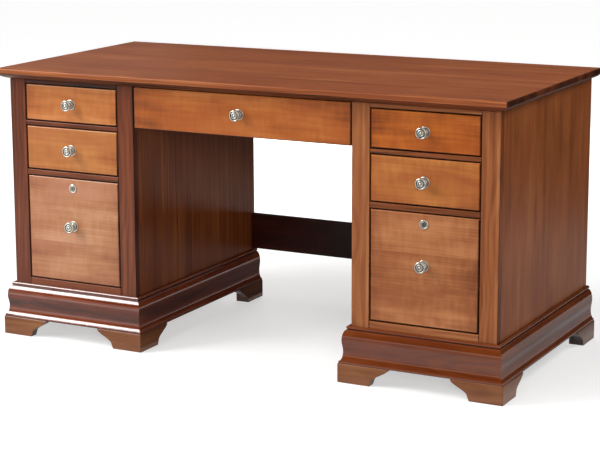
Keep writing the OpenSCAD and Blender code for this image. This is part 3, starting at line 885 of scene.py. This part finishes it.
def open_tree(name, inputs):
    """A new tree whose output is a shape, and the outputs that give what it is given."""
    tree = bpy.data.node_groups.new(name, "GeometryNodeTree")
    tree.is_modifier = True
    for socket, kind in inputs.items():
        tree.interface.new_socket(socket, in_out="INPUT", socket_type="NodeSocket" + kind)
    tree.interface.new_socket("Shape", in_out="OUTPUT", socket_type="NodeSocketGeometry")
    return tree, add(tree, "NodeGroupInput").outputs


def close_tree(tree, shape, finish):
    """Makes a tree's shape real, in its material, and gives it out."""
    real = add(tree, "GeometryNodeRealizeInstances", {"Geometry": shape})
    finished = add(tree, "GeometryNodeSetMaterial", {"Geometry": real.outputs[0], "Material": finish})
    add(tree, "NodeGroupOutput", {"Shape": finished.outputs[0]})


def grow(obj, tree, values):
    """Turns an object's mesh into what a tree makes of it with some values."""
    modifier = obj.modifiers.new(tree.name, "NODES")
    modifier.node_group = tree
    for socket in tree.interface.items_tree:
        if socket.name in values:
            modifier[socket.identifier] = values[socket.name]
    settle(obj)


# Base mouldings

# The moulding's section in mm and degrees: how far each form stands out from the case, its height or
# how high it lies, and how far the bead turns under
BEAD_R, BEAD_OUT, BEAD_TURN = 4.5, 10, 50
QUIRK_OUT, QUIRK_H = 8, 1
BELLY_OUT, BELLY_Z = 19.2, 60.5
WAIST_OUT, WAIST_Z = 16, 30.5
FILLET_OUT, FILLET_H = 25.4, 5
# The fillet has a point this high, above which the dark line over the feet has faded
SEAT_LINE_H = 1.8
# Each curve of the section is drawn in this many steps
STEPS = 20
# Points of a run this close are one
SEAM = 0.01 * MM
MITRE_GAP = 0.1 * MM
MOULDING_HEART_ASIDE = 50
MOULDING_TONES = 0.05
# The hollow's painted shade, and how many mm it takes to fade in and out
HOLLOW_PAINTED_SHADE = {"left": -0.5, "right": -0.25}
HOLLOW_FADE = 8
# The tone of the dark lines, of gathered stain and painted shade, and how far they reach to either side
STAIN_AND_SHADE_LINE_TONE = -1.8
LINE_REACH = 0.8 * MM


def turn_through(low, high):
    """Angles from low to high degrees, in radians."""
    return [math.radians(low + (high - low) * i / STEPS) for i in range(STEPS + 1)]


def draw_section(height):
    """The moulding's outline in mm: a bead, a quirk, a long ogee and a flare down to a fillet."""
    quirk_z = height - 2 * BEAD_R
    ogee_top = quirk_z - QUIRK_H
    outline = [(0, height)]
    outline += [
        (BEAD_OUT - BEAD_R + BEAD_R * math.cos(a), height - BEAD_R + BEAD_R * math.sin(a))
        for a in turn_through(90, -BEAD_TURN)
    ]
    outline += [(QUIRK_OUT, quirk_z)]
    outline += [
        (
            QUIRK_OUT + (BELLY_OUT - QUIRK_OUT) * math.sin(a),
            BELLY_Z + (ogee_top - BELLY_Z) * math.cos(a),
        )
        for a in turn_through(0, 90)
    ]
    middle, swing = (BELLY_OUT + WAIST_OUT) / 2, (BELLY_OUT - WAIST_OUT) / 2
    outline += [
        (middle + swing * math.cos(a), BELLY_Z + (WAIST_Z - BELLY_Z) * a / math.pi)
        for a in turn_through(0, 180)[1:]
    ]
    outline += [
        (
            FILLET_OUT - (FILLET_OUT - WAIST_OUT) * math.cos(a),
            WAIST_Z + (FILLET_H - WAIST_Z) * math.sin(a),
        )
        for a in turn_through(0, 90)[1:]
    ]
    return outline + [(FILLET_OUT, SEAT_LINE_H), (FILLET_OUT, 0), (0, 0)]


def plan_moulding_run():
    """A run of moulding: its section drawn along Y, and each end cut to a mitre by moving its points
    along the run as far as they stand out."""
    inputs = {
        "Section": "Geometry",
        "Length": "Float",
        "Near mitre": "Float",
        "Far mitre": "Float",
        "Figure": "Vector",
        "Tone": "Float",
        "Hollow painted shade": "Float",
        "Hollow foot": "Float",
        "Hollow head": "Float",
        "Fade": "Float",
        "Quirk": "Float",
        "Line reach": "Float",
        "Stain and shade line tone": "Float",
        "Finish": "Material",
    }
    tree, given = open_tree("moulding_run", inputs)
    drawn = add(
        tree,
        "GeometryNodeExtrudeMesh",
        {
            "Mesh": given["Section"],
            "Offset": (0, 1, 0),
            "Offset Scale": given["Length"],
            "Individual": False,
        },
        mode="FACES",
    )
    near_end = add(tree, "GeometryNodeFlipFaces", {"Mesh": given["Section"]})
    both = add(tree, "GeometryNodeJoinGeometry", {"Geometry": drawn.outputs["Mesh"]})
    tree.links.new(near_end.outputs["Mesh"], both.inputs["Geometry"])
    closed = add(
        tree, "GeometryNodeMergeByDistance", {"Geometry": both.outputs[0], "Distance": SEAM}
    )
    position = add(tree, "GeometryNodeInputPosition").outputs[0]
    place = add(tree, "ShaderNodeSeparateXYZ", {"Vector": position}).outputs
    share = add(tree, MATHS, {0: place["Y"], 1: given["Length"]}, operation="DIVIDE").outputs[0]
    back = add(tree, MATHS, {0: given["Near mitre"], 1: -1.0}, operation="MULTIPLY").outputs[0]
    lean = add(
        tree, "ShaderNodeMapRange", {"Value": share, "To Min": back, "To Max": given["Far mitre"]}
    )
    shift = add(
        tree, MATHS, {0: place["X"], 1: lean.outputs["Result"]}, operation="MULTIPLY"
    ).outputs[0]
    offset = add(tree, "ShaderNodeCombineXYZ", {"Y": shift}).outputs[0]
    mitred = add(
        tree, "GeometryNodeSetPosition", {"Geometry": closed.outputs["Geometry"], "Offset": offset}
    )
    along = add(
        tree, "ShaderNodeCombineXYZ", {"X": place["Y"], "Y": place["Z"], "Z": place["X"]}
    ).outputs[0]
    grain = add(tree, VECTORS, {0: along, 1: given["Figure"]}, operation="ADD").outputs[0]
    grained = add(
        tree,
        "GeometryNodeStoreNamedAttribute",
        {"Geometry": mitred.outputs[0], "Name": "grain", "Value": grain},
        data_type="FLOAT_VECTOR",
        domain="POINT",
    )
    # The hollow gets painted shade, which fades in above its foot and out below its head
    above_foot = add(
        tree, MATHS, {0: place["Z"], 1: given["Hollow foot"]}, operation="SUBTRACT"
    ).outputs[0]
    below_head = add(
        tree, MATHS, {0: given["Hollow head"], 1: place["Z"]}, operation="SUBTRACT"
    ).outputs[0]
    inside = add(tree, MATHS, {0: above_foot, 1: below_head}, operation="MINIMUM").outputs[0]
    hollow = add(
        tree,
        "ShaderNodeMapRange",
        {"Value": inside, "From Max": given["Fade"], "To Max": given["Hollow painted shade"]},
        interpolation_type="SMOOTHSTEP",
    )
    shade = add(
        tree, MATHS, {0: given["Tone"], 1: hollow.outputs["Result"]}, operation="ADD"
    ).outputs[0]
    # Dark lines of gathered stain and painted shade in the quirk, against the case and over the feet
    for at, line in ((place["Z"], given["Quirk"]), (place["X"], 0.0), (place["Z"], 0.0)):
        near = add(
            tree, MATHS, {0: at, 1: line, 2: given["Line reach"]}, operation="COMPARE"
        ).outputs[0]
        shade = add(
            tree, MATHS, {0: near, 1: given["Stain and shade line tone"], 2: shade}, operation="MULTIPLY_ADD"
        ).outputs[0]
    toned = add(
        tree,
        "GeometryNodeStoreNamedAttribute",
        {"Geometry": grained.outputs[0], "Name": "tone", "Value": shade},
        data_type="FLOAT",
        domain="POINT",
    )
    close_tree(tree, toned.outputs[0], given["Finish"])
    return tree


def cut_moulding(side, moulding_tree):
    """A pedestal's mouldings: the front run with a mitre at both ends, and two side runs to the back.
    The front run is a hair short at each mitre, which keeps the mitred faces apart."""
    node = f"{side}_base_moulding"
    low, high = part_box(node)
    out = FILLET_OUT * MM
    height = high.z - low.z
    section = [(x * MM, 0, z * MM) for x, z in draw_section(height / MM)]
    half = (high.x - low.x) / 2 - out
    middle = (low.x + high.x) / 2
    front = low.y + out
    depth = high.y - front
    chance = random.Random(node)
    quarter_turn = Matrix(((0, 1, 0), (-1, 0, 0), (0, 0, 1)))
    half_turn = Matrix(((-1, 0, 0), (0, -1, 0), (0, 0, 1)))
    # Each run: how it is turned, where it starts, its length, and its near and its far mitre
    runs = [
        (quarter_turn, (middle - half + MITRE_GAP, front), 2 * (half - MITRE_GAP), 1.0, 1.0),
        (Matrix.Identity(3), (middle + half, front), depth, 1.0, 0.0),
        (half_turn, (middle - half, high.y), depth, 0.0, 1.0),
    ]
    whole = bmesh.new()
    for turn, (x, y), length, near, far in runs:
        mesh = bpy.data.meshes.new("section")
        mesh.from_pydata(section, [], [tuple(range(len(section)))])
        run = stand("run", mesh)
        values = {
            "Length": length,
            "Near mitre": near,
            "Far mitre": far,
            "Figure": pick_figure(chance, MOULDING_HEART_ASIDE),
            "Tone": chance.uniform(-MOULDING_TONES, MOULDING_TONES),
            "Hollow painted shade": HOLLOW_PAINTED_SHADE[side],
            "Hollow foot": (WAIST_Z - HOLLOW_FADE) * MM,
            "Hollow head": (BELLY_Z + HOLLOW_FADE) * MM,
            "Fade": HOLLOW_FADE * MM,
            "Quirk": height - (2 * BEAD_R + QUIRK_H / 2) * MM,
            "Line reach": LINE_REACH,
            "Stain and shade line tone": STAIN_AND_SHADE_LINE_TONE,
            "Finish": base_maple[side],
        }
        grow(run, moulding_tree, values)
        run.data.transform(Matrix.Translation((x, y, low.z)) @ turn.to_4x4())
        whole.from_mesh(run.data)
        bpy.data.objects.remove(run)
    bmesh.ops.recalc_face_normals(whole, faces=whole.faces)
    piece = make_piece(node, whole, base_maple[side])
    smooth_round(piece, SHARP)
    hand_over(piece, node)


moulding_tree = plan_moulding_run()
for side in SIDES:
    cut_moulding(side, moulding_tree)


# Back panels' brads

BRAD_INSET = 8 * MM
BRAD_PITCH = 90 * MM
BRAD_HEAD_R = 2.2 * MM
# How far a head stands out, as a share of its radius, and how often its faces are divided
BRAD_FLATNESS = 0.3
BRAD_DETAIL = 2


def plan_brads():
    """Brad heads driven at an even pitch along a path."""
    inputs = {
        "Path": "Geometry",
        "Pitch": "Float",
        "Head": "Float",
        "Flatness": "Float",
        "Finish": "Material",
    }
    tree, given = open_tree("brads", inputs)
    line = add(tree, "GeometryNodeMeshToCurve", {"Mesh": given["Path"]})
    points = add(
        tree,
        "GeometryNodeCurveToPoints",
        {"Curve": line.outputs[0], "Length": given["Pitch"]},
        mode="LENGTH",
    )
    head = add(
        tree,
        "GeometryNodeMeshIcoSphere",
        {"Radius": given["Head"], "Subdivisions": BRAD_DETAIL},
    )
    squash = add(tree, "ShaderNodeCombineXYZ", {"X": 1.0, "Y": given["Flatness"], "Z": 1.0})
    driven = add(
        tree,
        "GeometryNodeInstanceOnPoints",
        {
            "Points": points.outputs["Points"],
            "Instance": head.outputs["Mesh"],
            "Scale": squash.outputs[0],
        },
    )
    close_tree(tree, driven.outputs[0], given["Finish"])
    return tree


def drive_brads(side, brad_tree):
    """Brads round the edge of a back panel, which hold it in its rabbets."""
    low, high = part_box(f"{side}_back_panel")
    left, right = low.x + BRAD_INSET, high.x - BRAD_INSET
    foot, head = low.z + BRAD_INSET, high.z - BRAD_INSET
    corners = [(left, foot), (right, foot), (right, head), (left, head)]
    mesh = bpy.data.meshes.new("brads")
    mesh.from_pydata([(x, high.y, z) for x, z in corners], [(0, 1), (1, 2), (2, 3), (3, 0)], [])
    obj = stand(f"{side}_back_brads", mesh)
    values = {
        "Pitch": BRAD_PITCH,
        "Head": BRAD_HEAD_R,
        "Flatness": BRAD_FLATNESS,
        "Finish": zinc_steel,
    }
    grow(obj, brad_tree, values)
    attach(obj, BODY_OF[f"{side}_back_panel"])


brad_tree = plan_brads()
for side in SIDES:
    drive_brads(side, brad_tree)


# Hardware

# How much comes off the edges, in mm
STEEL_EASE = 0.2
PLUG_EASE = 0.1
LATHE_STEPS = 64
# Half section of a knob from the screw to the middle of its head: radius and height above the
# drawer front in mm, and how much patina lies there
KNOB = [
    (2.1, 0, 0), (13.7, 0, 0), (14.6, 0.4, 0), (15, 1.2, 0), (14.6, 2, 0), (13.7, 2.5, 0),
    (12.4, 2.4, 0.2), (11.4, 2.3, 0.7), (10.4, 2.6, 0.7), (9.6, 3.8, 0.3), (9, 6.2, 0),
    (7.6, 6.9, 0.3), (6.2, 7.2, 0.8), (5.4, 8.4, 0.6), (4.8, 10.4, 0.2), (4.8, 12.6, 0.1),
    (5.4, 15, 0.3), (6.6, 17, 0.6), (8.6, 18, 0.5), (11, 18.6, 0.1), (13.2, 19.6, 0),
    (14.8, 21.4, 0), (15.5, 23.4, 0), (15.4, 25.2, 0), (14.6, 26.8, 0), (13.4, 27.6, 0),
    (12.4, 27.7, 0), (11.6, 27.3, 0.3), (11.1, 26.5, 0.9), (10.4, 26.1, 1), (9.6, 26.2, 1),
    (8.9, 26.9, 0.5), (8.2, 27.4, 0.1), (6.8, 27.6, 0), (5.4, 27.4, 0.2), (4.4, 26.8, 0.8),
    (3.8, 26.7, 0.9), (3.2, 27.2, 0.4), (2.4, 27.9, 0), (1.2, 28.3, 0), (0, 28.4, 0),
]
# The same for a lock's trim ring, from its barrel's back to the ring's inner edge
TRIM = [
    (6.3, -20, 0.6), (9.4, -20, 0.6), (9.4, 0, 0.4), (11.9, 0, 0.1), (12.4, 0.5, 0),
    (12.4, 1.1, 0), (11.8, 1.8, 0), (10.8, 2, 0), (9.6, 1.9, 0), (8.8, 1.4, 0.5),
    (8.2, 1.3, 0.9), (7.6, 1.5, 0.5), (7, 1.8, 0.1), (6.5, 1.8, 0.4), (6.3, 1.5, 1),
]


def finish_hardware(node, material, ease):
    """A CAD node as pressed or turned metal, with its edges broken by a width in mm."""
    shape = open_node(node)
    ease_edges(shape, ease * MM)
    piece = make_piece(node, shape, material)
    smooth_round(piece, EASED_SHARP)
    hand_over(piece, node)


def turn_on_lathe(node, section):
    """A turned piece on the axis of its CAD node, from the drawer front's face outwards."""
    low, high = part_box(node)
    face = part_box("left_face_frame")[0].y
    centre = Vector(((low.x + high.x) / 2, face, (low.z + high.z) / 2))
    shape = bmesh.new()
    patina = shape.verts.layers.float.new("patina")
    rings = []
    for radius, out, dark in section:
        ring = []
        for i in range(LATHE_STEPS if radius else 1):
            turn = 2 * math.pi * i / LATHE_STEPS
            offset = Vector((radius * math.cos(turn), -out, radius * math.sin(turn))) * MM
            corner = shape.verts.new(centre + offset)
            corner[patina] = dark
            ring.append(corner)
        rings.append(ring)
    # A section that ends off its axis, as the trim's does, runs back to its start
    closed = section[-1][0] != 0
    for inner, outer in zip(rings, rings[1:] + (rings[:1] if closed else [])):
        for i in range(LATHE_STEPS):
            j = (i + 1) % LATHE_STEPS
            places = [(inner, i), (inner, j), (outer, j), (outer, i)]
            shape.faces.new(dict.fromkeys(ring[k % len(ring)] for ring, k in places))
    if not closed:
        shape.faces.new(reversed(rings[0]))
    bmesh.ops.recalc_face_normals(shape, faces=shape.faces)
    piece = make_piece(node, shape, nickel)
    turning = piece.modifiers.new("turning", "SUBSURF")
    turning.levels = 1
    turning.render_levels = 1
    settle(piece)
    shade_smooth(piece)
    hand_over(piece, node)


finish_hardware("slide_cabinet_members", zinc_steel, STEEL_EASE)
for drawer in DRAWERS:
    finish_hardware(f"{drawer}_drawer_slides", zinc_steel, STEEL_EASE)
for side in SIDES:
    finish_hardware(f"{side}_file_slide_middles", zinc_steel, STEEL_EASE)
for drawer in DRAWERS:
    turn_on_lathe(f"{drawer}_drawer_knob", KNOB)
for side in SIDES:
    turn_on_lathe(f"{side}_lock_barrel", TRIM)
    finish_hardware(f"{side}_lock_plug", dull_nickel, PLUG_EASE)
